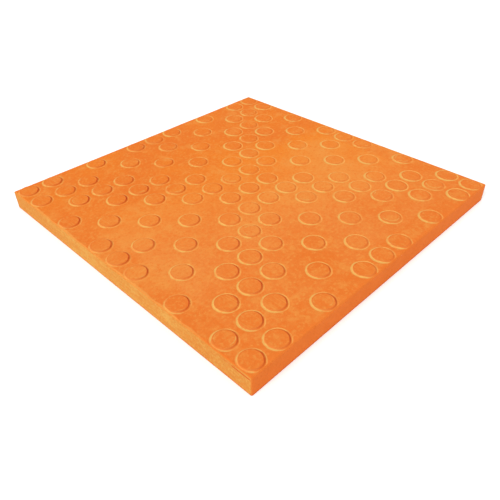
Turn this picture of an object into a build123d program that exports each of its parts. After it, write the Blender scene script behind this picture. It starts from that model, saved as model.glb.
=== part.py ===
from build123d import *
import os

# A square paving tile of fired clay, pressed in one piece: a slab with a field of low round studs on
# its walking face and shallow blind grooves in its bed face that key into the mortar.
# Millimetres, +Z up. The origin is the middle of the bed face, so the tile lies on Z = 0 with its
# studs up, and its sides run along X and Y.

# Slab
TILE_SIDE = 300.0
SLAB_THICKNESS = 16.5           # from the bed face to the ground between the studs
ARRIS_RADIUS = 0.8              # rounding along the upper edges
CORNER_EASE = 0.7               # extra radius of the upright corners over the arris

# Studs
STUDS_PER_SIDE = 13             # grid places along a side, filled or left out
STUD_FOOT_DIAMETER = 18.0
STUD_HEIGHT = 1.0
STUD_WALL_DRAFT = 55.0          # lean of the wall from upright, in degrees
STUD_FLATS = 24                 # flats round a stud, which keep it round to within 0.08 mm
STUD_EDGE_LAND = 0.2            # flat strip between the arris and the feet of the outer studs

# Keying grooves
KEY_GROOVE_WIDTH = 10.0         # at the mouth
KEY_GROOVE_DEPTH = 1.5
KEY_GROOVE_DRAFT = 30.0         # lean of the groove's walls from upright, in degrees
KEY_GROOVE_PITCH = 21.0
KEY_BORDER = 20.0               # plain margin of the bed face outside the grooves

# Worked out from the sizes above
corner_radius = ARRIS_RADIUS + CORNER_EASE
stud_foot_radius = STUD_FOOT_DIAMETER / 2
stud_inset = ARRIS_RADIUS + STUD_EDGE_LAND + stud_foot_radius
last_place = STUDS_PER_SIDE - 1
stud_pitch = (TILE_SIDE - 2 * stud_inset) / last_place
key_field = TILE_SIDE - 2 * KEY_BORDER
key_groove_count = int((key_field - KEY_GROOVE_WIDTH) // KEY_GROOVE_PITCH) + 1


def has_stud(column, row):
    """Studs fill every other place, both diagonals and the middle of each side."""
    every_other = (column + row) % 2 == 1
    on_diagonal = column == row or column + row == last_place
    mid_of_x_side = row in (0, last_place) and 2 * column == last_place
    mid_of_y_side = column in (0, last_place) and 2 * row == last_place
    return every_other or on_diagonal or mid_of_x_side or mid_of_y_side


def place_on_axis(step):
    """Distance of a grid place from the middle of the tile along X or Y."""
    return (step - last_place / 2) * stud_pitch


stud_centres = [
    (place_on_axis(column), place_on_axis(row), SLAB_THICKNESS)
    for column in range(STUDS_PER_SIDE)
    for row in range(STUDS_PER_SIDE)
    if has_stud(column, row)
]

# One stud, with its foot at Z = 0
with BuildPart() as stud:
    with BuildSketch():
        RegularPolygon(stud_foot_radius, STUD_FLATS)
    extrude(amount=STUD_HEIGHT, taper=STUD_WALL_DRAFT)

# The tile: slab, arris, keying grooves and the field of studs
with BuildPart() as tile:
    with BuildSketch():
        RectangleRounded(TILE_SIDE, TILE_SIDE, corner_radius)
    extrude(amount=SLAB_THICKNESS)
    fillet(tile.faces().sort_by(Axis.Z)[-1].edges(), radius=ARRIS_RADIUS)

    with BuildSketch():
        with GridLocations(KEY_GROOVE_PITCH, 0, key_groove_count, 1):
            Rectangle(KEY_GROOVE_WIDTH, key_field)
    extrude(amount=KEY_GROOVE_DEPTH, taper=KEY_GROOVE_DRAFT, mode=Mode.SUBTRACT)

    with Locations(*stud_centres):
        add(stud.part)

tile.part.label = "paving_tile"

os.makedirs("parts", exist_ok=True)
export_step(tile.part, "parts/paving_tile.step")
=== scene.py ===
import math
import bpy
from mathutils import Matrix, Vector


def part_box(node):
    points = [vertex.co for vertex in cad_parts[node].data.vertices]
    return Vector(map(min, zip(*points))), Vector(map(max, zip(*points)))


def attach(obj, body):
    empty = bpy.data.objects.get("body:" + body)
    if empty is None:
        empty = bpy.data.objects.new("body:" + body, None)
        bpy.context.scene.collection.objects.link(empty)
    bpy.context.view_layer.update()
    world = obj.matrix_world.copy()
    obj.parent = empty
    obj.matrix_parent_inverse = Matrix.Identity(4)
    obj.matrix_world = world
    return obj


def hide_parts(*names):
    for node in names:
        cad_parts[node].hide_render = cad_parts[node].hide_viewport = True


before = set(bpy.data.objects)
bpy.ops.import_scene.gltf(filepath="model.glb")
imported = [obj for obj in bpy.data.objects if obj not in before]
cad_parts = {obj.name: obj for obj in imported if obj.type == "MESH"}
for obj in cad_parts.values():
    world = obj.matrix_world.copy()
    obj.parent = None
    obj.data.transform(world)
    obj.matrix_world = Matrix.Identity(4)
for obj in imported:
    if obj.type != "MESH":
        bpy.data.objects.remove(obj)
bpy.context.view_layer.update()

from types import SimpleNamespace
from typing import NamedTuple

import bmesh
import bpy
import numpy as np
from mathutils import Matrix, Vector

# A square tile of fired orange clay with a field of low round studs, lying studs up on a white floor.
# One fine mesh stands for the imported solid: the same slab, studs, arris and keying grooves, with the
# softened, slightly uneven edges and the surface of pressed clay. Lengths are millimetres until the
# mesh is made, and the frame's metres after that.

MM = 0.001
TILE_NODE = "paving_tile"
TILE_BODY = "root"

# Slab, from the frame's box
tile_low, tile_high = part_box(TILE_NODE)
HALF_SIDE = (tile_high.x - tile_low.x) / 2 / MM
STUD_TOP = tile_high.z / MM
STUD_HEIGHT = 1.0
GROUND = STUD_TOP - STUD_HEIGHT
ARRIS = 0.8
CORNER_EASE = 0.25                       # of the upright corners, sharper than in the solid
BED_ARRIS = 0.15
FLAT_HALF = HALF_SIDE - ARRIS
CORNER_CENTRE = FLAT_HALF - CORNER_EASE
SHARP_ANGLE = math.radians(50)           # edges that turn further are shaded as edges

# Studs
STUDS_PER_SIDE = 13
LAST_PLACE = STUDS_PER_SIDE - 1
STUD_FOOT = 9.0
STUD_LAND = 0.2
PITCH = 2 * (FLAT_HALF - STUD_LAND - STUD_FOOT) / LAST_PLACE
STUD_WALL_RUN = 1.1                      # width of a stud's wall in plan
STUD_RINGS = (4.0, 6.6, 7.2, 7.45, 7.65, 7.85, 8.05, 8.25, 8.45, 8.65, 8.85, 9.1)
FOOT_RINGS = (9.5, 10.0, 10.6)
CELL_LINES = 10                          # grid lines across a stud's cell
MOAT_DEPTH = 0.08                        # of the faint hollow round a stud's foot
MOAT_RADIUS = 9.9
MOAT_WIDTH = 0.5

# Unevenness of the pressed clay
SEED = 7
NOISE_CELLS = 97
GROUND_SWELL = ((42.0, 0.10), (11.0, 0.035))    # width and rise of each swell
STUD_HEIGHT_LOSS = 0.25
STUD_HEIGHT_FALL = 0.4                   # lower studs towards the +X end of the press
STUD_RADIUS_SPREAD = 0.07
STUD_LEAN = 0.008
STUD_WOBBLE = 0.08
STUD_WOBBLE_WAVES = (2, 3, 5, 7)
NICK_SHARE = 0.35                        # of the studs that have a nick
NICK_DEPTH = 0.35
NICK_LEAST = 0.4                         # share of that depth in the shallowest nick
NICK_WIDTH = math.radians(9)
ARRIS_WEAR = 0.16
ARRIS_WEAR_LENGTH = 13.0
ARRIS_WEAR_SEED = 11
CHIP_LENGTH = ARRIS_WEAR_LENGTH / 3
CHIP_LEVEL = 0.3                         # noise above which the arris is chipped
CHIP_SEED = 12
SIDE_SWELL = 0.12
SIDE_SWELL_LENGTH = 46.0
SIDE_SWELL_SEED = 13
STREAK_DEPTH = 0.07
STREAK_LENGTH = 70.0
STREAK_HEIGHT = 1.5
STREAK_SEED = 14

# Side rows and keying grooves
ARRIS_TURNS = tuple(math.radians(turn) for turn in (22.5, 45.0, 67.5, 90.0))
BED_TURNS = tuple(math.radians(turn) for turn in (45.0, 90.0))
SIDE_ROWS = 20
KEY_GROOVE_WIDTH = 10.0
KEY_GROOVE_DEPTH = 1.5
KEY_GROOVE_LEAN = math.tan(math.radians(30))
KEY_GROOVE_PITCH = 21.0
KEY_GROOVES = 12
KEY_BORDER = 20.0
KEY_FIELD_HALF = HALF_SIDE - KEY_BORDER
BED_LAND = 5.0                           # flat strip round the grooves, inside the plain margin
BED_FIELD_HALF = KEY_FIELD_HALF + BED_LAND
BED_STEPS = 14                           # along a groove


def smooth_step(share):
    """Eases a share between 0 and 1 at both ends."""
    return share ** 2 * (3 - 2 * share)


def soft_noise(x, y, width, seed):
    """Smooth noise between -1 and 1 whose bumps are about the given width."""
    lattice = np.random.default_rng(SEED + seed).uniform(-1, 1, (NOISE_CELLS, NOISE_CELLS))
    u = np.asarray(x, float) / width
    v = np.asarray(y, float) / width
    i = np.floor(u).astype(int)
    j = np.floor(v).astype(int)
    s = smooth_step(u - i)
    t = smooth_step(v - j)

    def knot(di, dj):
        return lattice[(i + di) % NOISE_CELLS, (j + dj) % NOISE_CELLS]

    near = knot(0, 0) * (1 - s) + knot(1, 0) * s
    far = knot(0, 1) * (1 - s) + knot(1, 1) * s
    return near * (1 - t) + far * t


def has_stud(column, row):
    """Studs fill every other place, both diagonals and the middle of each side."""
    every_other = (column + row) % 2 == 1
    on_diagonal = column == row or column + row == LAST_PLACE
    mid_of_x_side = row in (0, LAST_PLACE) and 2 * column == LAST_PLACE
    mid_of_y_side = column in (0, LAST_PLACE) and 2 * row == LAST_PLACE
    return every_other or on_diagonal or mid_of_x_side or mid_of_y_side


def place_on_axis(step):
    """Distance of a grid place from the middle of the tile along X or Y."""
    return (step - LAST_PLACE / 2) * PITCH


def ground_level(x, y):
    """Height of the ground between the studs, with its gentle swell."""
    level = np.full(np.shape(x), GROUND)
    for seed, (width, rise) in enumerate(GROUND_SWELL):
        level = level + rise * soft_noise(x, y, width, seed)
    return level


class Shell:
    """Collects the tile's vertices and faces, with what the surface needs to know at each vertex."""

    def __init__(self):
        self.places = []
        self.faces = []
        self.traits = {"on_stud": [], "drawn_side": [], "cut_side": [], "arris": [], "bed": []}

    def vertex(self, x, y, z, **traits):
        self.places.append((x, y, z))
        for name, values in self.traits.items():
            values.append(traits.get(name, 0.0))
        return len(self.places) - 1

    def band(self, first, second, closed):
        """Quads between two rows of as many vertices."""
        count = len(first)
        for a in range(count if closed else count - 1):
            b = (a + 1) % count
            self.faces.append((first[a], first[b], second[b], second[a]))

    def zip_rows(self, first, second, axis):
        """Triangles between two rows of different counts that run the same way along one axis."""
        a = b = 0
        while a < len(first) - 1 or b < len(second) - 1:
            take_first = b == len(second) - 1
            if a < len(first) - 1 and b < len(second) - 1:
                ahead_first = abs(self.places[first[a + 1]][axis] - self.places[first[0]][axis])
                ahead_second = abs(self.places[second[b + 1]][axis] - self.places[second[0]][axis])
                take_first = ahead_first < ahead_second
            if take_first:
                self.faces.append((first[a], first[a + 1], second[b]))
                a += 1
            else:
                self.faces.append((first[a], second[b + 1], second[b]))
                b += 1


def grid_lines():
    """Places of the fine grid's lines along an axis, and the index of each stud cell's first line."""
    lines = []
    starts = []
    turns = np.tan(np.linspace(-math.pi / 4, math.pi / 4, CELL_LINES + 1))
    corner_steps = [CORNER_CENTRE, CORNER_CENTRE + CORNER_EASE / 2]
    for step in range(STUDS_PER_SIDE):
        centre = place_on_axis(step)
        below = min(PITCH / 2, FLAT_HALF + centre)
        above = min(PITCH / 2, FLAT_HALF - centre)
        cell = [centre + turn * (below if turn < 0 else above) for turn in turns]
        if step == 0:
            cell += [-place for place in corner_steps]
        if step == LAST_PLACE:
            cell += corner_steps
        starts.append(len(lines))
        lines += sorted(cell)[:-1]
    starts.append(len(lines))
    lines.append(FLAT_HALF)
    return lines, starts


def eased_corner(x, y):
    """Bends the flat's square corner to its small radius."""
    u = abs(x) - CORNER_CENTRE
    v = abs(y) - CORNER_CENTRE
    if u <= 0 or v <= 0:
        return x, y
    share = v / u if u >= v else 2 - u / v
    turn = share * math.pi / 4
    reach = max(u, v)
    return (
        math.copysign(CORNER_CENTRE + reach * math.cos(turn), x),
        math.copysign(CORNER_CENTRE + reach * math.sin(turn), y),
    )


def outline_of(i0, i1, j0, j1):
    """Grid places round a block of the grid, anticlockwise from its lowest corner."""
    places = [(i, j0) for i in range(i0, i1)]
    places += [(i1, j) for j in range(j0, j1)]
    places += [(i, j1) for i in range(i1, i0, -1)]
    places += [(i0, j) for j in range(j1, j0, -1)]
    return places


def walking_face(shell):
    """The ground and its studs. Returns the vertices round the edge of the flat, anticlockwise."""
    lines, starts = grid_lines()
    last_line = len(lines) - 1
    grid = {}

    def grid_vertex(i, j):
        if (i, j) not in grid:
            x, y = eased_corner(lines[i], lines[j])
            grid[i, j] = shell.vertex(x, y, float(ground_level(x, y)))
        return grid[i, j]

    for column in range(STUDS_PER_SIDE):
        for row in range(STUDS_PER_SIDE):
            i0, i1 = starts[column], starts[column + 1]
            j0, j1 = starts[row], starts[row + 1]
            if has_stud(column, row):
                border = [grid_vertex(i, j) for i, j in outline_of(i0, i1, j0, j1)]
                stud_cell(shell, column, row, border)
                continue
            for i in range(i0, i1):
                first = [grid_vertex(i, j) for j in range(j0, j1 + 1)]
                second = [grid_vertex(i + 1, j) for j in range(j0, j1 + 1)]
                shell.band(first, second, closed=False)
    return [grid_vertex(i, j) for i, j in outline_of(0, last_line, 0, last_line)]


def stud_shape(column, row):
    """What sets one stud apart: its height, foot, lean, the waves of its outline and perhaps a nick."""
    rng = np.random.default_rng((SEED, column, row))
    fall = STUD_HEIGHT_FALL * (place_on_axis(column) + HALF_SIDE) / (2 * HALF_SIDE)
    return SimpleNamespace(
        height=STUD_HEIGHT * (1 - fall) * (1 - STUD_HEIGHT_LOSS * rng.uniform() ** 2),
        foot=STUD_FOOT + STUD_RADIUS_SPREAD * rng.normal(),
        lean=STUD_LEAN * rng.normal(size=2),
        waves=[
            (count, STUD_WOBBLE * rng.normal() / math.sqrt(count), rng.uniform(0, 2 * math.pi))
            for count in STUD_WOBBLE_WAVES
        ],
        nick_depth=NICK_DEPTH * rng.uniform(NICK_LEAST, 1.0) * (rng.uniform() < NICK_SHARE),
        nick_turn=rng.uniform(0, 2 * math.pi),
    )


def stud_rings(reach):
    """Radii of a stud's rings on each spoke: the outer ones squeezed to fit the cell's border."""
    widest = PITCH / 2
    inner = STUD_RINGS[-1]
    room = np.minimum(reach, widest)
    rings = [np.full(len(reach), radius) for radius in STUD_RINGS]
    rings += [inner + (radius - inner) * (room - inner) / (widest - inner) for radius in FOOT_RINGS]
    return rings


def stud_cell(shell, column, row, border):
    """One stud in its cell: rings of vertices from the cell's border in to the middle of the top."""
    stud = stud_shape(column, row)
    centre = np.array([place_on_axis(column), place_on_axis(row)])
    spokes = np.array([shell.places[index][:2] for index in border]) - centre
    turn = np.arctan2(spokes[:, 1], spokes[:, 0])
    from_nick = np.angle(np.exp(1j * (turn - stud.nick_turn)))
    outline = stud.foot + sum(size * np.cos(count * turn + phase) for count, size, phase in stud.waves)
    outline = outline - stud.nick_depth * np.exp(-(from_nick / NICK_WIDTH) ** 2)

    previous = border
    for radii in reversed(stud_rings(np.hypot(spokes[:, 0], spokes[:, 1]))):
        x = centre[0] + radii * np.cos(turn)
        y = centre[1] + radii * np.sin(turn)
        rise = smooth_step(np.clip((outline - radii) / STUD_WALL_RUN, 0, 1))
        tilt = stud.lean[0] * (x - centre[0]) + stud.lean[1] * (y - centre[1])
        moat = MOAT_DEPTH * np.exp(-((radii - MOAT_RADIUS) / MOAT_WIDTH) ** 2)
        z = ground_level(x, y) + rise * (stud.height + tilt) - moat
        ring = [shell.vertex(*place, on_stud=1.0) for place in zip(x, y, z)]
        shell.band(previous, ring, closed=True)
        previous = ring
    middle = shell.vertex(*centre, float(ground_level(*centre)) + stud.height, on_stud=1.0)
    for a in range(len(previous)):
        shell.faces.append((previous[a], previous[(a + 1) % len(previous)], middle))


def outward(x, y):
    """Plan direction in which the edge of the flat faces."""
    u = max(abs(x) - CORNER_CENTRE, 0.0)
    v = max(abs(y) - CORNER_CENTRE, 0.0)
    length = math.hypot(u, v)
    return math.copysign(u / length, x), math.copysign(v / length, y)


def sides(shell, edge):
    """Arris, four sides and the soft lower edge, as rows round the tile. Returns the lowest row."""
    base = np.array([shell.places[index][:2] for index in edge])
    level = np.array([shell.places[index][2] for index in edge])
    normal = np.array([outward(x, y) for x, y in base])
    drawn = normal[:, 0] ** 2
    cut = normal[:, 1] ** 2
    along = np.where(drawn > cut, base[:, 1], base[:, 0])
    own_noise = np.where(drawn > cut, np.sign(base[:, 0]), 2 * np.sign(base[:, 1])) * HALF_SIDE
    wear = ARRIS_WEAR * (1 + soft_noise(along, own_noise, ARRIS_WEAR_LENGTH, ARRIS_WEAR_SEED))
    chips = soft_noise(along, own_noise, CHIP_LENGTH, CHIP_SEED)
    wear = wear + ARRIS_WEAR * np.clip(chips - CHIP_LEVEL, 0, 1)
    swell = SIDE_SWELL * (soft_noise(along, own_noise, SIDE_SWELL_LENGTH, SIDE_SWELL_SEED) - 1) / 2

    def row_of(offset, height, share, worn=0.0):
        x = base[:, 0] + normal[:, 0] * offset
        y = base[:, 1] + normal[:, 1] * offset
        row = []
        for a in range(len(base)):
            row.append(shell.vertex(
                x[a], y[a], height[a],
                drawn_side=share * drawn[a], cut_side=share * cut[a], arris=worn,
            ))
        return row

    previous = edge
    for turn in ARRIS_TURNS:
        pull = wear * math.sin(2 * turn)
        share = math.sin(turn) ** 2
        offset = ARRIS * math.sin(turn) - pull * math.sin(turn) + swell * share
        height = level - ARRIS * (1 - math.cos(turn)) - pull * math.cos(turn)
        row = row_of(offset, height, share, worn=math.sin(2 * turn))
        shell.band(previous, row, closed=True)
        previous = row
    top = level - ARRIS
    for step in range(1, SIDE_ROWS + 1):
        share = step / SIDE_ROWS
        height = top * (1 - share) + BED_ARRIS * share
        streak = STREAK_DEPTH * drawn * soft_noise(
            along / STREAK_LENGTH * STREAK_HEIGHT, height + own_noise, STREAK_HEIGHT, STREAK_SEED)
        row = row_of(ARRIS + swell + streak, height, 1.0)
        shell.band(previous, row, closed=True)
        previous = row
    for turn in BED_TURNS:
        height = np.full(len(base), BED_ARRIS * (1 - math.sin(turn)))
        row = row_of(ARRIS + swell - BED_ARRIS * (1 - math.cos(turn)), height, 1.0)
        shell.band(previous, row, closed=True)
        previous = row
    return previous


def bed_face(shell, rim):
    """The underside: a plain margin round a field of blind keying grooves."""
    half_mouth = KEY_GROOVE_WIDTH / 2
    half_floor = half_mouth - KEY_GROOVE_DEPTH * KEY_GROOVE_LEAN
    end_floor = KEY_FIELD_HALF - KEY_GROOVE_DEPTH * KEY_GROOVE_LEAN
    middles = [(step - (KEY_GROOVES - 1) / 2) * KEY_GROOVE_PITCH for step in range(KEY_GROOVES)]
    x_lines = [-BED_FIELD_HALF, BED_FIELD_HALF]
    for middle in middles:
        x_lines += [middle - half_mouth, middle - half_floor, middle + half_floor, middle + half_mouth]
    y_lines = [-BED_FIELD_HALF, -KEY_FIELD_HALF, KEY_FIELD_HALF, BED_FIELD_HALF]
    y_lines += list(np.linspace(-end_floor, end_floor, BED_STEPS + 1))
    x_lines.sort()
    y_lines.sort()

    def groove_depth(x, y):
        inside = min(half_mouth - min(abs(x - middle) for middle in middles), KEY_FIELD_HALF - abs(y))
        return min(max(inside / KEY_GROOVE_LEAN, 0.0), KEY_GROOVE_DEPTH)

    columns = [[shell.vertex(x, y, groove_depth(x, y), bed=1.0) for y in y_lines] for x in x_lines]
    for first, second in zip(columns, columns[1:]):
        shell.band(first, second, closed=False)

    quarter = len(rim) // 4
    lower = [column[0] for column in columns]
    upper = [column[-1] for column in columns]
    inner_sides = ((lower, 0), (columns[-1], 1), (upper[::-1], 0), (columns[0][::-1], 1))
    for side, (inner, axis) in enumerate(inner_sides):
        outer = [rim[(side * quarter + a) % len(rim)] for a in range(quarter + 1)]
        shell.zip_rows(outer, inner, axis)


def tile_mesh():
    """The whole tile as one closed mesh, in metres."""
    shell = Shell()
    edge = walking_face(shell)
    rim = sides(shell, edge)
    bed_face(shell, rim)
    mesh = bpy.data.meshes.new("tile_surface")
    mesh.from_pydata((np.array(shell.places) * MM).tolist(), [], shell.faces)
    for name, values in shell.traits.items():
        layer = mesh.attributes.new(name, "FLOAT", "POINT")
        layer.data.foreach_set("value", np.array(values, np.float32))
    work = bmesh.new()
    work.from_mesh(mesh)
    bmesh.ops.recalc_face_normals(work, faces=work.faces)
    work.to_mesh(mesh)
    work.free()
    mesh.shade_smooth()
    mesh.set_sharp_from_angle(angle=SHARP_ANGLE)
    return mesh


class Graph:
    """A short way to write a material's nodes: each call adds its nodes and returns their output."""

    def __init__(self, tree):
        self.tree = tree
        tree.nodes.clear()

    def node(self, kind, inputs=None, **settings):
        made = self.tree.nodes.new(kind)
        for name, value in settings.items():
            setattr(made, name, value)
        for key, value in (inputs or {}).items():
            if isinstance(value, bpy.types.NodeSocket):
                self.tree.links.new(value, made.inputs[key])
            else:
                made.inputs[key].default_value = value
        return made

    def math(self, operation, first, second=0.0):
        return self.node("ShaderNodeMath", {0: first, 1: second}, operation=operation).outputs[0]

    def chain(self, operation, values):
        """One operation on all the values, from the first to the last."""
        result, *others = values
        for value in others:
            result = self.math(operation, result, value)
        return result

    def add(self, *terms):
        return self.chain("ADD", terms)

    def multiply(self, *factors):
        return self.chain("MULTIPLY", factors)

    def largest(self, *values):
        return self.chain("MAXIMUM", values)

    def subtract(self, first, second):
        return self.math("SUBTRACT", first, second)

    def absolute(self, value):
        return self.math("ABSOLUTE", value)

    def rest(self, share):
        """What a share leaves of 1."""
        return self.subtract(1.0, share)

    def between(self, share, limits):
        """A value that goes from the first limit at 0 to the second at 1."""
        low, high = limits
        return self.add(self.multiply(share, high - low), low)

    def vector(self, operation, first, second=(0.0, 0.0, 0.0)):
        return self.node("ShaderNodeVectorMath", {0: first, 1: second}, operation=operation).outputs[0]

    def stretch(self, first, factors):
        return self.vector("MULTIPLY", first, factors)

    def scale(self, first, factor):
        return self.node("ShaderNodeVectorMath", {0: first, "Scale": factor}, operation="SCALE").outputs[0]

    def dot(self, first, second):
        made = self.node("ShaderNodeVectorMath", {0: first, 1: second}, operation="DOT_PRODUCT")
        return made.outputs["Value"]

    def length(self, first):
        return self.node("ShaderNodeVectorMath", {0: first}, operation="LENGTH").outputs["Value"]

    def trait(self, name):
        return self.node("ShaderNodeAttribute", attribute_name=name).outputs["Fac"]

    def noise(self, place, width=1.0, detail=2.0, roughness=0.5, distortion=0.0):
        """Noise from 0 to 1 with bumps about the given width."""
        return self.node("ShaderNodeTexNoise", {
            "Vector": place, "Scale": 1.0 / width, "Detail": detail, "Roughness": roughness,
            "Distortion": distortion,
        }).outputs[0]

    def fade(self, value, start, end):
        """Smooth step from 0 at start to 1 at end; start may be the larger."""
        return self.node("ShaderNodeMapRange", {0: value, 1: start, 2: end, 3: 0.0, 4: 1.0},
                         interpolation_type="SMOOTHSTEP").outputs[0]

    def remap(self, value, source, result):
        """Straight change from one range to another, held at its ends."""
        return self.node("ShaderNodeMapRange", {
            0: value, 1: source[0], 2: source[1], 3: result[0], 4: result[1],
        }).outputs[0]

    def blend(self, factor, first, second):
        """Colour mix from first at 0 to second at 1."""
        return self.node("ShaderNodeMix", {0: factor, 6: first, 7: second}, data_type="RGBA").outputs[2]


class Layer(NamedTuple):
    """A tone laid over a colour where a noise field passes from one level to another."""
    field: str
    begins: float
    full: float
    share: float
    tone: tuple


# Clay colours, linear
CLAY_NEAR = (0.868, 0.251, 0.047, 1)
CLAY_FAR = (0.905, 0.246, 0.018, 1)
CLAY_DEEP = (0.835, 0.187, 0.021, 1)
CLAY_PALE = (0.885, 0.325, 0.061, 1)
# painted shade on the studs' walls away from the lamp, and along the edge of their tops
STUD_PAINTED_SHADE = (0.560, 0.040, 0.006, 1)
# darker painted tone on the stud walls that face the lamp, damping their highlight
LIT_WALL = (0.720, 0.210, 0.042, 1)
# pale dust round the studs' feet, also painted up the walls on the lit side as painted highlight
FOOT_DUST_AND_HIGHLIGHT = (0.825, 0.440, 0.108, 1)
# the same dust painted lighter away from the lamp, as painted light that lifts its shade
DUST_WITH_PAINTED_LIGHT = (0.960, 0.460, 0.108, 1)
EDGE_DUST = (0.890, 0.385, 0.083, 1)
ARRIS_DUST = (0.720, 0.335, 0.074, 1)
DRAWN_SIDE = (0.680, 0.286, 0.052, 1)
DRAWN_SIDE_DEEP = (0.640, 0.210, 0.031, 1)
DRAWN_SIDE_PALE = (0.708, 0.368, 0.081, 1)
CUT_SIDE = (0.910, 0.214, 0.031, 1)
CUT_SIDE_DEEP = (0.885, 0.202, 0.027, 1)
CUT_SIDE_PALE = (0.915, 0.232, 0.036, 1)
CUT_SIDE_PIT = (0.800, 0.165, 0.022, 1)
TURNED_EDGE = (0.720, 0.192, 0.028, 1)
# dark clay of the crack under the lip, also painted as shade along the foot of the sides by the floor
CRACK_AND_BOTTOM_SHADE = (0.620, 0.062, 0.002, 1)
BED_CLAY = (0.800, 0.245, 0.046, 1)
BED_PALE = (0.820, 0.320, 0.085, 1)

# In what follows a pair of limits says where a change begins and where it is full, unless its comment
# says otherwise. A share is how much of the change is seen, and a side is a plan direction.

# Places on the tile
IN_PLAN = (1.0, 1.0, 0.0)
HALF_CELL = (0.5, 0.5, 0.0)              # added before rounding down to the nearest grid place

# Noise fields, by the width of their bumps
MID_NOISE = 0.5
CLOUD_SIZE = 60.0
BLOTCH_SIZE = 12.0
FLECK_SIZE = 2.2
GRAIN_SIZE = 0.8
PIT_SIZE = 1.7
PIT_LEVEL = (0.36, 0.27)
DRAG_STRETCH = (0.050, 0.050, 0.90)      # bumps per millimetre along and up the drawn sides
WIRE_STRETCH = (0.70, 0.70, 0.10)        # and along and up the cut sides

# Ground
PALE_BAND = -18.0                        # place along Y of a paler band across the tile
PALE_BAND_HALF = (28.0, 82.0)            # distance from it
OFF_BAND_DEPTH = 0.42
CLOUD_DEPTH = 1.7
FAR_WAY = (0.45, 1.0, 0.0)               # the clay is purer orange this way
FAR_REACH = 110.0
FAR_DEEP = (15.0, 70.0)                  # along Y, where the far side deepens
FAR_DEPTH = 0.2
SHADE_DEEP = (-0.1, 1.0)
SHADE_PALE = (0.15, -0.45)
SHADE_PALE_SHARE = 0.6
MARGIN = (23.0, 17.0)                    # distance from the edge
MARGIN_DEPTH = (0.72, 0.45)              # of the deeper margin at the near and the far end
CUT_EDGE = (5.0, 0.5)                    # distance from the cut sides
CUT_EDGE_SHARE = 0.6
GROUND_LAYERS = (
    Layer("blotches", 0.48, 0.72, 0.55, CLAY_PALE),
    Layer("blotches", 0.46, 0.26, 0.35, CLAY_DEEP),
    Layer("flecks", 0.50, 0.70, 0.70, CLAY_PALE),
    Layer("flecks", 0.48, 0.30, 0.75, CLAY_DEEP),
)

# Stud tops
CHANCE_STEP = 0.05                       # softens a yes or no that is drawn for each stud
TOP_EDGE = (7.9, 7.4)
DEEP_TOPS = (0.55, 1.0)
DEEP_TOP_SHARE = 0.35
RUB_FROM = 0.7                           # studs whose number is above this are rubbed
RUB_STRETCH = (0.9, 0.07, 0.0)           # bumps per millimetre across and along the rub marks
RUB_LINES = (0.52, 0.68)
RUB_SHARE = 0.6
STRIKE_SHIFT = 1.6
STRIKE_RADIUS = 6.9
STRIKE_WIDTH = 0.5
STRIKE_ROOM = (7.8, 7.3)
STRIKE_BELOW = 0.35                      # studs whose number is below this were struck twice
STRIKE_PATCHES = (0.48, 0.60)
STRIKE_SHARE = 0.8

# Stud walls, with painted shade away from the lamp and a darker painted tone on the wall facing it
FACING = (0.0, 0.9)                      # how far a wall faces a side
FRONT_SIDE = (0.0, -1.0, 0.0)            # side on which the stud's foot stands out further
FRONT_FACING = (0.7, 1.0)
FRONT_SHIFT = 0.45
LIT_SIDE = (-0.96, -0.28, 0.0)           # side towards the lamp, whose wall gets a darker painted tone that damps its highlight
LIT_RADIUS = 8.2
LIT_WIDTH = 0.95
LIT_SHARE = 0.9
PAINTED_SHADE_SIDE = (0.72, -0.69, 0.0)            # side away from the lamp, whose wall gets painted shade
PAINTED_SHADE_RADIUS = 7.85
PAINTED_SHADE_WIDTH = 0.85
PAINTED_SHADE_ACROSS = (0.9, 0.0)                  # share of the way across the tile
PAINTED_SHADE_FRONT_LOSS = 0.5
PAINTED_SHADE_SPREAD = (0.60, 1.05)                # strength on the faintest and the deepest stud
# fine rim of painted shade round the edge of a stud's top, left off the lit side
RIM_RADIUS = 7.75
RIM_WIDTH = 0.5
RIM_SHARE = 0.2

# Dust round the feet of the studs, painted thicker and further up the wall on the lit side as painted
# highlight
DUST_AND_HIGHLIGHT_SIDE = (-0.95, 0.31, 0.0)           # side towards the lamp, where it is painted thicker as painted highlight
DUST_INNER = 9.0
DUST_INNER_SWING = 0.2
DUST_INNER_FADE = (0.4, 0.7)             # width of its inner edge away from and on that side
DUST_OUTER = 10.0
DUST_OUTER_FADE = 1.0
DUST_SPREAD = 0.5                        # further out at the far end of the tile
DUST_WIDENS = (0.1, 0.8)
DUST_WIDENING = 0.3
DUST_WAVE = 0.7
DUST_WAVE_LENGTH = 4.0
DUST_THICKENS = (-0.6, 0.9)
DUST_THICKNESS = (0.8, 1.0)              # away from and on the lit side, where the thicker dust is painted highlight
DUST_NEAR = (0.0, -90.0)                 # along Y, where it thickens again
DUST_NEAR_GAIN = 0.2
DUST_CHANCE = 0.6                        # difference between the thickest and the thinnest ring
DUST_PATCH_SIZE = 4.5
DUST_PATCHES = (0.34, 0.62)
DUST_PATCHINESS = (0.48, 1.23)           # strength in the thinnest and the thickest patch
# where the dust turns to its lighter painted-light copy, away from the lamp
PAINTED_LIGHT_DUST_FACING = (0.2, -0.6)
THIN_SIDE = (0.40, -0.92, 0.0)           # side on which the dust is thinner
THIN_FACING = (0.1, 0.9)
THIN_SHARE = 0.4
THIN_COLUMN = (-118.0, -135.0)           # along X, where it thins out
THIN_ROWS = (-120.0, -30.0)              # and along Y
THIN_COLUMN_SHARE = 0.5

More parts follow.
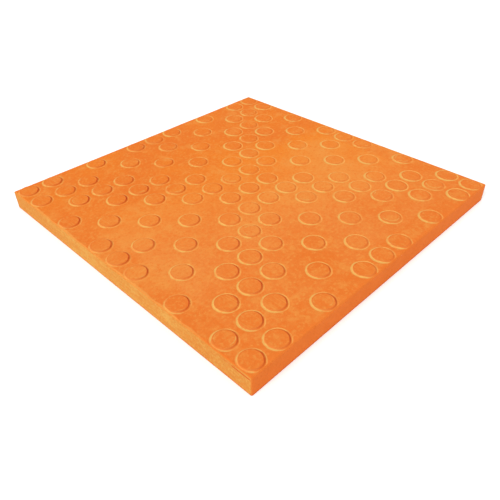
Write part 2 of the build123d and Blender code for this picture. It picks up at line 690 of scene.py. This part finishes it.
# Lip that was dragged over the arris near one corner, and the crack under it
LIP_STARTS = (-HALF_SIDE + 1.0, -HALF_SIDE + 2.0)
LIP_WEAKENS = (-HALF_SIDE + 18.0, -HALF_SIDE + 15.0)
LIP_STRENGTH = (0.4, 1.0)                # past that place and before it
LIP_CLOSES = (-HALF_SIDE + 32.0, -HALF_SIDE + 20.0)
LIP_PAST = (-HALF_SIDE + 24.0, -HALF_SIDE + 64.0)
LIP_FACE = (-HALF_SIDE + 1.2, -HALF_SIDE + 0.5)
LIP_DEPTH = 2.1                          # of the crack under the ground
LIP_WIDTH = 1.0
LIP_WANDER = 0.8
LIP_WANDER_LENGTH = 9.0
LIP_STRIP = (4.0, 0.5)                   # distance from the edge of the deeper clay behind it
LIP_STRIP_HALF = (0.0, -1.0)             # only on the half of the tile towards -X
LIP_STRIP_SHARE = 0.7

# Sides and their edges
DRAWN_PALEST = 12.0                      # place along Y where the drawn sides are palest
DRAWN_DEEPENS = (30.0, 140.0)            # distance from there
DRAWN_DEEP_SHARE = 0.5
DRAWN_LAYERS = (
    Layer("streaks", 0.56, 0.34, 0.65, DRAWN_SIDE_DEEP),
    Layer("streaks", 0.54, 0.70, 0.60, DRAWN_SIDE_PALE),
    Layer("flecks", 0.47, 0.70, 0.65, DRAWN_SIDE_PALE),
    Layer("flecks", 0.47, 0.28, 0.70, DRAWN_SIDE_DEEP),
    Layer("blotches", 0.50, 0.70, 0.60, DRAWN_SIDE_PALE),
    Layer("pits", *PIT_LEVEL, 0.60, DRAWN_SIDE_DEEP),
)
CUT_LAYERS = (
    Layer("blotches", 0.62, 0.40, 1.00, CUT_SIDE_DEEP),
    Layer("wires", 0.50, 0.72, 0.50, CUT_SIDE_PALE),
    Layer("pits", *PIT_LEVEL, 0.50, CUT_SIDE_PIT),
)
BED_LAYERS = (
    Layer("blotches", 0.40, 0.68, 1.00, BED_PALE),
)
EDGE_PALE_REACH = (0.8, 2.1)             # least and greatest width of the pale edge over the drawn sides
EDGE_WAVE_LENGTH = 24.0
EDGE_WAVES = (0.36, 0.62)
EDGE_FADE = (0.4, -0.2)
EDGE_LEVEL = (GROUND - 3.0, GROUND - 1.0)
EDGE_PALE_SHARE = 0.55
RUBBED_FLECKS = (0.40, 0.66)
RUBBED_BLOTCHES = (0.46, 0.60)
BARE_SHARE = 0.7
UPRIGHT_SHARE = 0.8
HALFWAY_PRODUCT = 0.25                   # of the two side traits, halfway round an upright corner
BOTTOM_LINE = (1.3, 0.3)                 # height over the floor of the painted shade along the sides' foot
BOTTOM_SHARE = 0.45

# Relief too fine for the mesh, and the finish
GRAIN_RISE = 0.03
FLECK_RISE = 0.10
STREAK_RISE = 0.13
WIRE_RISE = 0.10
PIT_SINK = 0.12
STRIKE_SINK = 0.12
CRACK_SINK = 0.10
GRAIN_RANGE = (0.2, 0.8)
GRAIN_SHADE = (0.94, 1.06)
ROUGHNESS = 0.85
SPECULAR = 0.12


def line_mask(g, distance, width):
    """1 on a line, fading to 0 at the given half width."""
    return g.fade(g.absolute(distance), width, 0.0)


def mottled(g, at, colour, layers):
    """A colour with each of the layers laid over it in turn."""
    for layer in layers:
        cover = g.multiply(g.fade(getattr(at, layer.field), layer.begins, layer.full), layer.share)
        colour = g.blend(cover, colour, layer.tone)
    return colour


def clay_fields(g):
    """What the colour and the relief are made of: places, noises and the numbers of each stud."""
    metres = g.node("ShaderNodeTexCoord").outputs["Object"]
    place = g.stretch(metres, (1 / MM, 1 / MM, 1 / MM))
    x, y, z = g.node("ShaderNodeSeparateXYZ", {0: place}).outputs[:]
    cell = g.stretch(place, (1 / PITCH, 1 / PITCH, 0.0))
    cell = g.vector("FLOOR", g.vector("ADD", cell, HALF_CELL))
    local = g.vector("SUBTRACT", g.stretch(place, IN_PLAN), g.stretch(cell, (PITCH, PITCH, 0.0)))
    chance = g.node("ShaderNodeTexWhiteNoise", {"Vector": cell}, noise_dimensions="2D").outputs
    return SimpleNamespace(
        place=place, x=x, y=y, z=z, across=g.fade(x, -HALF_SIDE, HALF_SIDE),
        local=local, radius=g.length(local), outward=g.vector("NORMALIZE", local),
        stud_chance=chance["Value"], stud_turn=chance["Color"],
        stud_depth=g.node("ShaderNodeSeparateXYZ", {0: chance["Color"]}).outputs["Z"],
        on_stud=g.trait("on_stud"), drawn=g.trait("drawn_side"), cut=g.trait("cut_side"),
        arris=g.trait("arris"), bed=g.trait("bed"),
        clouds=g.noise(place, CLOUD_SIZE, detail=3.0, roughness=0.55),
        blotches=g.noise(place, BLOTCH_SIZE, detail=4.0, roughness=0.6, distortion=0.3),
        flecks=g.noise(place, FLECK_SIZE, detail=3.0, roughness=0.65),
        grain=g.noise(place, GRAIN_SIZE, detail=2.0, roughness=0.6),
        streaks=g.noise(g.stretch(place, DRAG_STRETCH), detail=4.0, roughness=0.7),
        wires=g.noise(g.stretch(place, WIRE_STRETCH), detail=3.0, roughness=0.6),
        pits=g.noise(place, PIT_SIZE, detail=1.0),
    )


def ground_colour(g, at):
    """Cloudy orange clay, deeper along the margin and towards one side, with pale blotches and flecks."""
    off_band = g.fade(g.absolute(g.subtract(at.y, PALE_BAND)), *PALE_BAND_HALF)
    shade = g.add(
        g.multiply(off_band, OFF_BAND_DEPTH),
        g.multiply(g.subtract(MID_NOISE, at.clouds), CLOUD_DEPTH),
        g.multiply(g.fade(at.y, *FAR_DEEP), FAR_DEPTH),
    )
    far = g.fade(g.dot(at.place, FAR_WAY), -FAR_REACH, FAR_REACH)
    inset = g.subtract(HALF_SIDE, g.largest(g.absolute(at.x), g.absolute(at.y)))
    margin = g.multiply(g.fade(inset, *MARGIN), g.between(far, MARGIN_DEPTH))
    deep = g.largest(g.fade(shade, *SHADE_DEEP), margin)
    colour = g.blend(deep, g.blend(far, CLAY_NEAR, CLAY_FAR), CLAY_DEEP)
    pale = g.multiply(g.fade(shade, *SHADE_PALE), SHADE_PALE_SHARE)
    colour = mottled(g, at, g.blend(pale, colour, CLAY_PALE), GROUND_LAYERS)
    from_cut_side = g.subtract(HALF_SIDE, g.absolute(at.y))
    cut_edge = g.multiply(g.fade(from_cut_side, *CUT_EDGE), CUT_EDGE_SHARE)
    return g.blend(cut_edge, colour, CUT_SIDE_DEEP)


def strike_arc(g, at):
    """A faint second outline inside some studs, where the press met the clay twice."""
    turn = g.vector("SUBTRACT", at.stud_turn, (MID_NOISE, MID_NOISE, MID_NOISE))
    shift = g.stretch(turn, (2 * STRIKE_SHIFT, 2 * STRIKE_SHIFT, 0.0))
    struck = g.subtract(g.length(g.vector("ADD", at.local, shift)), STRIKE_RADIUS)
    return g.multiply(
        line_mask(g, struck, STRIKE_WIDTH),
        at.on_stud,
        g.fade(at.radius, *STRIKE_ROOM),
        g.fade(at.stud_chance, STRIKE_BELOW, STRIKE_BELOW - CHANCE_STEP),
        g.fade(at.blotches, *STRIKE_PATCHES),
    )


def stud_tops(g, at, strike, colour):
    """Tops that differ from stud to stud: some deeper, some rubbed pale, some struck twice."""
    top = g.multiply(at.on_stud, g.fade(at.radius, *TOP_EDGE))
    deeper = g.multiply(top, g.fade(at.stud_chance, *DEEP_TOPS), DEEP_TOP_SHARE)
    colour = g.blend(deeper, colour, CLAY_DEEP)
    rubs = g.noise(g.stretch(at.place, RUB_STRETCH), detail=2.0)
    chosen = g.fade(at.stud_chance, RUB_FROM, RUB_FROM + CHANCE_STEP)
    rubbed = g.multiply(top, chosen, g.fade(rubs, *RUB_LINES), RUB_SHARE)
    colour = g.blend(rubbed, colour, CLAY_PALE)
    return g.blend(g.multiply(strike, STRIKE_SHARE), colour, FOOT_DUST_AND_HIGHLIGHT)


def stud_walls(g, at, frontal, radius, colour):
    """Painted light and shade on the walls: a darker tone on the wall facing the lamp that damps its
    highlight, painted shade on the wall away from it and a fine rim of painted shade between them.
    """
    # the wall facing the lamp gets a darker painted tone that damps its highlight
    lit = g.multiply(g.fade(g.dot(at.outward, LIT_SIDE), *FACING), at.on_stud)
    wall = line_mask(g, g.subtract(at.radius, LIT_RADIUS), LIT_WIDTH)
    colour = g.blend(g.multiply(wall, lit, LIT_SHARE), colour, LIT_WALL)
    # painted shade on the wall away from the lamp
    painted_shade = g.multiply(
        g.fade(g.dot(at.outward, PAINTED_SHADE_SIDE), *FACING),
        g.fade(at.across, *PAINTED_SHADE_ACROSS),
        g.rest(g.multiply(frontal, PAINTED_SHADE_FRONT_LOSS)),
        line_mask(g, g.subtract(radius, PAINTED_SHADE_RADIUS), PAINTED_SHADE_WIDTH),
        g.between(at.stud_depth, PAINTED_SHADE_SPREAD),
    )
    # fine rim of painted shade, left off the lit side
    rim = line_mask(g, g.subtract(at.radius, RIM_RADIUS), RIM_WIDTH)
    rim = g.multiply(rim, g.rest(lit), RIM_SHARE)
    return g.blend(g.multiply(g.largest(painted_shade, rim), at.on_stud), colour, STUD_PAINTED_SHADE)


def dust_and_highlight_ring(g, at, faced, radius):
    """1 in the wavy ring round a stud's foot where dust lies, reaching further up the wall on the lit side
    as painted highlight.
    """
    ripple = g.subtract(g.noise(at.place, DUST_WAVE_LENGTH, detail=2.0), MID_NOISE)
    wavy = g.add(radius, g.multiply(ripple, DUST_WAVE))
    # the inner edge reaches further up the wall towards the lamp, as painted highlight
    inner = g.subtract(DUST_INNER, g.multiply(faced, DUST_INNER_SWING))
    start = g.subtract(inner, g.between(g.fade(faced, *FACING), DUST_INNER_FADE))
    outer = g.add(
        DUST_OUTER,
        g.multiply(at.across, DUST_SPREAD),
        g.multiply(g.fade(g.absolute(faced), *DUST_WIDENS), DUST_WIDENING),
    )
    end = g.subtract(outer, DUST_OUTER_FADE)
    return g.multiply(g.fade(wavy, start, inner), g.fade(wavy, outer, end))


def dust_and_highlight_thickness(g, at, faced):
    """How thickly the dust lies: by side (thicker towards the lamp, as painted highlight), by place on the
    tile, from stud to stud and in patches.
    """
    thick = g.add(
        g.between(g.fade(faced, *DUST_THICKENS), DUST_THICKNESS),
        g.multiply(g.fade(at.y, *DUST_NEAR), DUST_NEAR_GAIN),
        g.multiply(g.subtract(at.stud_chance, MID_NOISE), DUST_CHANCE),
    )
    thin_side = g.multiply(g.fade(g.dot(at.outward, THIN_SIDE), *THIN_FACING), THIN_SHARE)
    thin_column = g.multiply(g.fade(at.x, *THIN_COLUMN), g.fade(at.y, *THIN_ROWS), THIN_COLUMN_SHARE)
    patches = g.fade(g.noise(at.place, DUST_PATCH_SIZE, detail=3.0), *DUST_PATCHES)
    return g.multiply(
        thick,
        g.rest(g.largest(thin_side, thin_column)),
        g.between(patches, DUST_PATCHINESS),
        at.on_stud,
    )


def stud_colour(g, at, strike, colour):
    """The tops, the walls with their painted light and shade, and the ring of pale dust round the foot of
    each stud, partly painted highlight.
    """
    frontal = g.fade(g.dot(at.outward, FRONT_SIDE), *FRONT_FACING)
    radius = g.subtract(at.radius, g.multiply(frontal, FRONT_SHIFT))
    faced = g.dot(at.outward, DUST_AND_HIGHLIGHT_SIDE)
    colour = stud_tops(g, at, strike, colour)
    colour = stud_walls(g, at, frontal, radius, colour)
    # the dust is painted lighter away from the lamp, as painted light
    dust = g.blend(g.fade(faced, *PAINTED_LIGHT_DUST_FACING), FOOT_DUST_AND_HIGHLIGHT, DUST_WITH_PAINTED_LIGHT)
    cover = g.multiply(dust_and_highlight_ring(g, at, faced, radius), dust_and_highlight_thickness(g, at, faced))
    return g.blend(cover, colour, dust)


def drawn_side_colour(g, at):
    """The pair of sides that slid through the die: yellower clay with long drag lines."""
    from_palest = g.absolute(g.subtract(at.y, DRAWN_PALEST))
    deeper = g.multiply(g.fade(from_palest, *DRAWN_DEEPENS), DRAWN_DEEP_SHARE)
    return mottled(g, at, g.blend(deeper, DRAWN_SIDE, DRAWN_SIDE_DEEP), DRAWN_LAYERS)


def upper_edge_colour(g, at, past_lip, colour):
    """The top along the drawn sides: a wavy pale edge, or deeper clay behind the lip."""
    from_drawn_side = g.subtract(HALF_SIDE, g.absolute(at.x))
    behind_lip = g.multiply(
        g.fade(from_drawn_side, *LIP_STRIP),
        g.rest(past_lip),
        g.fade(at.x, *LIP_STRIP_HALF),
        LIP_STRIP_SHARE,
    )
    colour = g.blend(behind_lip, colour, CLAY_DEEP)
    waves = g.fade(g.noise(at.place, EDGE_WAVE_LENGTH, detail=1.0), *EDGE_WAVES)
    reach = g.multiply(g.between(waves, EDGE_PALE_REACH), past_lip)
    pale = g.multiply(
        g.fade(g.subtract(from_drawn_side, reach), *EDGE_FADE),
        g.fade(at.z, *EDGE_LEVEL),
        past_lip,
        EDGE_PALE_SHARE,
    )
    return g.blend(pale, colour, EDGE_DUST)


def side_colours(g, at, colour):
    """Both pairs of sides, the worn edges round them, and painted shade along the lower edge by the floor.
    """
    past_lip = g.fade(at.y, *LIP_PAST)
    colour = upper_edge_colour(g, at, past_lip, colour)
    colour = g.blend(at.drawn, colour, drawn_side_colour(g, at))
    rubbed = g.largest(g.fade(at.flecks, *RUBBED_FLECKS), g.fade(at.blotches, *RUBBED_BLOTCHES))
    worn = g.multiply(at.arris, at.drawn, rubbed, past_lip)
    colour = g.blend(worn, colour, ARRIS_DUST)
    bare = g.multiply(at.arris, g.rest(at.cut), g.rest(worn), BARE_SHARE)
    colour = g.blend(bare, colour, TURNED_EDGE)
    colour = g.blend(at.cut, colour, mottled(g, at, CUT_SIDE, CUT_LAYERS))
    upright = g.multiply(at.drawn, at.cut, UPRIGHT_SHARE / HALFWAY_PRODUCT)
    colour = g.blend(upright, colour, TURNED_EDGE)
    # painted shade along the foot of the sides, where they meet the floor
    low = g.multiply(g.fade(at.z, *BOTTOM_LINE), g.add(at.drawn, at.cut), BOTTOM_SHARE)
    return g.blend(low, colour, CRACK_AND_BOTTOM_SHADE)


def lip_crack(g, at):
    """The crack under the lip, which wanders a little and closes away from the corner."""
    wander = g.multiply(g.subtract(g.noise(at.place, LIP_WANDER_LENGTH), MID_NOISE), LIP_WANDER)
    from_crack = g.add(g.subtract(at.z, GROUND), wander, LIP_DEPTH)
    return g.multiply(
        line_mask(g, from_crack, LIP_WIDTH),
        g.fade(at.x, *LIP_FACE),
        g.fade(at.y, *LIP_STARTS),
        g.between(g.fade(at.y, *LIP_WEAKENS), LIP_STRENGTH),
        g.fade(at.y, *LIP_CLOSES),
    )


def relief(g, at, strike, crack):
    """Relief too fine for the mesh, in millimetres."""
    pitted = g.multiply(g.fade(at.pits, *PIT_LEVEL), g.add(at.drawn, at.cut))
    return g.add(
        g.multiply(at.grain, GRAIN_RISE),
        g.multiply(at.flecks, FLECK_RISE),
        g.multiply(at.streaks, at.drawn, STREAK_RISE),
        g.multiply(at.wires, at.cut, WIRE_RISE),
        g.multiply(pitted, -PIT_SINK),
        g.multiply(strike, -STRIKE_SINK),
        g.multiply(crack, -CRACK_SINK),
    )


def terracotta():
    """Matte fired clay: cloudy orange, pale dust round the studs' feet with painted highlight on the lit
    side, painted shade on the studs' walls and along the sides' foot, drag lines on two sides.
    """
    material = bpy.data.materials.new("terracotta_clay")
    material.use_nodes = True
    g = Graph(material.node_tree)
    at = clay_fields(g)
    strike = strike_arc(g, at)
    crack = lip_crack(g, at)
    colour = stud_colour(g, at, strike, ground_colour(g, at))
    colour = side_colours(g, at, colour)
    colour = g.blend(crack, colour, CRACK_AND_BOTTOM_SHADE)
    colour = g.blend(at.bed, colour, mottled(g, at, BED_CLAY, BED_LAYERS))
    colour = g.scale(colour, g.remap(at.grain, GRAIN_RANGE, GRAIN_SHADE))
    bump = g.node("ShaderNodeBump", {
        "Strength": 1.0, "Distance": MM, "Height": relief(g, at, strike, crack),
    })
    shader = g.node("ShaderNodeBsdfPrincipled", {
        "Base Color": colour, "Normal": bump.outputs[0], "Roughness": ROUGHNESS,
        "Specular IOR Level": SPECULAR,
    })
    g.node("ShaderNodeOutputMaterial", {"Surface": shader.outputs[0]})
    return material


# Stage: floor, light and camera, in metres
FLOOR_HALF = 8.0
FLOOR_DROP = 0.0003                      # keeps the floor clear of the bed face
FLOOR_WHITE = (0.97, 0.97, 0.97, 1)
FLOOR_LIFT = 0.26                        # glow that keeps the floor white where it is seen
LIGHT_WHITE = (1, 1, 1, 1)
AMBIENT = 0.72                           # strength of the light from all round
LAMP_SHARE = 0.5                         # of full white that the lamp gives a white wall facing it
LAMP_AZIMUTH = math.radians(182)
LAMP_ELEVATION = math.radians(36)
LAMP_SPREAD = math.radians(22)
CAMERA_EYE = Vector((-286.07, -288.37, 263.05)) * MM
CAMERA_TARGET = Vector((-64.13, -64.01, GROUND)) * MM
CAMERA_ROLL = math.radians(-1.062)
CAMERA_LENS = 37.86                      # millimetres, like the sensor's width
SENSOR_WIDTH = 36.0


def seen_directly(g):
    """1 for what the camera, a reflection or a clear piece shows, 0 for what only lights the scene."""
    path = g.node("ShaderNodeLightPath")
    kinds = ("Is Camera Ray", "Is Glossy Ray", "Is Transmission Ray")
    return g.largest(*[path.outputs[kind] for kind in kinds])


def add_floor():
    """A wide white floor under the tile."""
    mesh = bpy.data.meshes.new("floor")
    corners = [(-FLOOR_HALF, -FLOOR_HALF), (FLOOR_HALF, -FLOOR_HALF), (FLOOR_HALF, FLOOR_HALF),
               (-FLOOR_HALF, FLOOR_HALF)]
    mesh.from_pydata([(x, y, -FLOOR_DROP) for x, y in corners], [], [(0, 1, 2, 3)])
    floor = bpy.data.objects.new("floor", mesh)
    bpy.context.scene.collection.objects.link(floor)
    material = bpy.data.materials.new("floor_white")
    material.use_nodes = True
    g = Graph(material.node_tree)
    white = g.node("ShaderNodeBsdfDiffuse", {"Color": FLOOR_WHITE})
    lift = g.node("ShaderNodeEmission", {"Strength": g.multiply(seen_directly(g), FLOOR_LIFT)})
    surface = g.node("ShaderNodeAddShader", {0: white.outputs[0], 1: lift.outputs[0]})
    g.node("ShaderNodeOutputMaterial", {"Surface": surface.outputs[0]})
    mesh.materials.append(material)


def add_light():
    """Soft light from all round, white where it is seen, and a broad low key light from the left."""
    world = bpy.data.worlds.new("studio")
    world.use_nodes = True
    g = Graph(world.node_tree)
    strength = g.remap(seen_directly(g), (0.0, 1.0), (AMBIENT, 1.0))
    background = g.node("ShaderNodeBackground", {"Color": LIGHT_WHITE, "Strength": strength})
    g.node("ShaderNodeOutputWorld", {"Surface": background.outputs[0]})
    bpy.context.scene.world = world

    lamp = bpy.data.lights.new("key", "SUN")
    lamp.energy = LAMP_SHARE * math.pi
    lamp.angle = LAMP_SPREAD
    key = bpy.data.objects.new("key", lamp)
    towards = Vector((
        math.cos(LAMP_AZIMUTH) * math.cos(LAMP_ELEVATION),
        math.sin(LAMP_AZIMUTH) * math.cos(LAMP_ELEVATION),
        math.sin(LAMP_ELEVATION),
    ))
    key.rotation_mode = "QUATERNION"
    key.rotation_quaternion = (-towards).to_track_quat("-Z", "Y")
    key.location = towards
    bpy.context.scene.collection.objects.link(key)


def add_camera():
    """The photograph's viewpoint: over one corner of the tile, looking down on its studs."""
    data = bpy.data.cameras.new("camera")
    data.sensor_width = SENSOR_WIDTH
    data.lens = CAMERA_LENS
    camera = bpy.data.objects.new("camera", data)
    aim = (CAMERA_TARGET - CAMERA_EYE).to_track_quat("-Z", "Y").to_matrix().to_4x4()
    camera.matrix_world = Matrix.Translation(CAMERA_EYE) @ aim @ Matrix.Rotation(CAMERA_ROLL, 4, "Z")
    bpy.context.scene.collection.objects.link(camera)
    bpy.context.scene.camera = camera


tile = bpy.data.objects.new("tile_surface", tile_mesh())
bpy.context.scene.collection.objects.link(tile)
tile.data.materials.append(terracotta())
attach(tile, TILE_BODY)
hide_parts(TILE_NODE)

add_floor()
add_light()
add_camera()
bpy.context.scene.view_settings.view_transform = "Standard"
